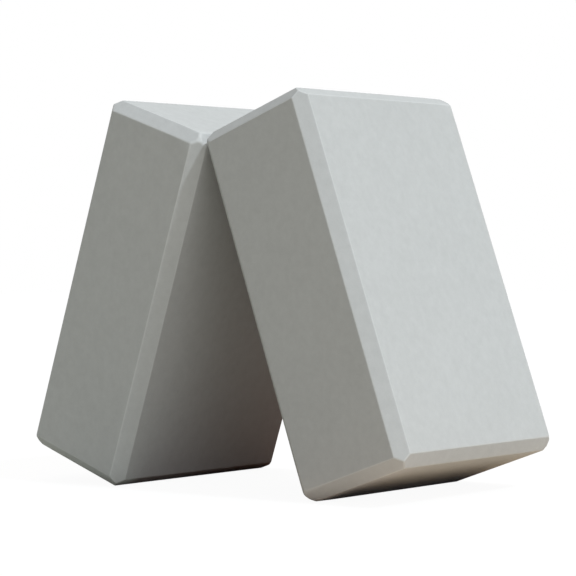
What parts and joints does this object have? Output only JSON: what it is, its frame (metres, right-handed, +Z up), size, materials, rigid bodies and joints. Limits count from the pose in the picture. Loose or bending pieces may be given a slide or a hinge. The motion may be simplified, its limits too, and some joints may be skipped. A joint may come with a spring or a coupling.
{
  "type": "yoga block pair",
  "caption": "Bevelled grey foam yoga blocks stood on end and leaning on each other like a tent, for support and height in poses.",
  "frame": {"origin": "on the floor, midway between the two feet and midway along the ridge", "axes": "+Z up, +Y along the ridge where the blocks touch and away from the picture's near side, +X outwards from the right block's broad face"},
  "size_m": [0.2976, 0.1538, 0.2383],
  "materials": {
    "foam": "matte light grey closed-cell EVA foam, fine stippled skin with faint mottling"
  },
  "bodies": {
    "left_block": {"left_block": "foam"},
    "right_block": {"right_block": "foam"}
  },
  "joints": [
    {"name": "right_block_tilt", "type": "hinge", "parent": "left_block", "child": "right_block", "pos_m": [0.07985, 0.00075, 0.0015], "axis": [0, 1, 0], "range_deg": [0, 19.3]}
  ]
}
